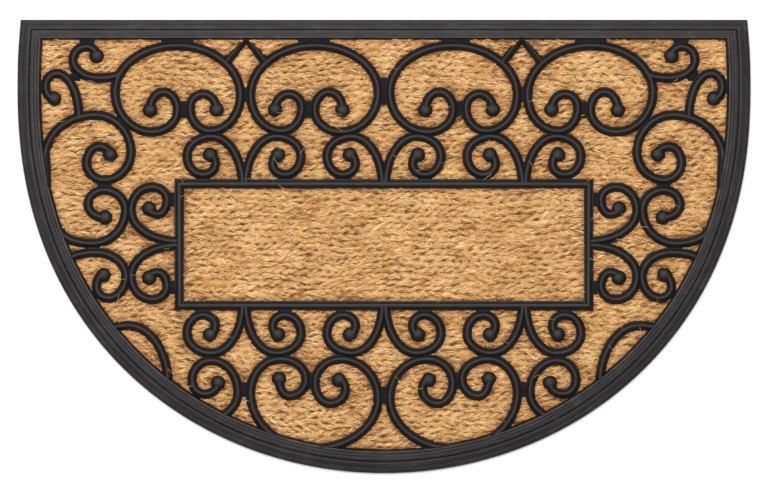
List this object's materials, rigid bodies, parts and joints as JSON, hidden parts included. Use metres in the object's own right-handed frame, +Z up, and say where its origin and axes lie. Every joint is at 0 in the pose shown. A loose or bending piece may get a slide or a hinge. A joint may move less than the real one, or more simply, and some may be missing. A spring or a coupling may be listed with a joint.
{
  "type": "half-round coir doormat",
  "caption": "Flat half-round doormat of woven coir, framed by a reeded black rubber border, with a raised rubber lattice of scrolls around a plain framed plaque.",
  "frame": {"origin": "middle of the mat's box on the underside, at floor level", "axes": "+X along the straight edge, +Y towards the straight edge, +Z up out of the tread face"},
  "size_m": [0.734, 0.454, 0.0119],
  "materials": {
    "rubber": "moulded, satin",
    "coir": "woven natural fibre, matte"
  },
  "bodies": {
    "root": {"rubber_moulding": "rubber", "coir_panel": "coir"}
  },
  "joints": []
}
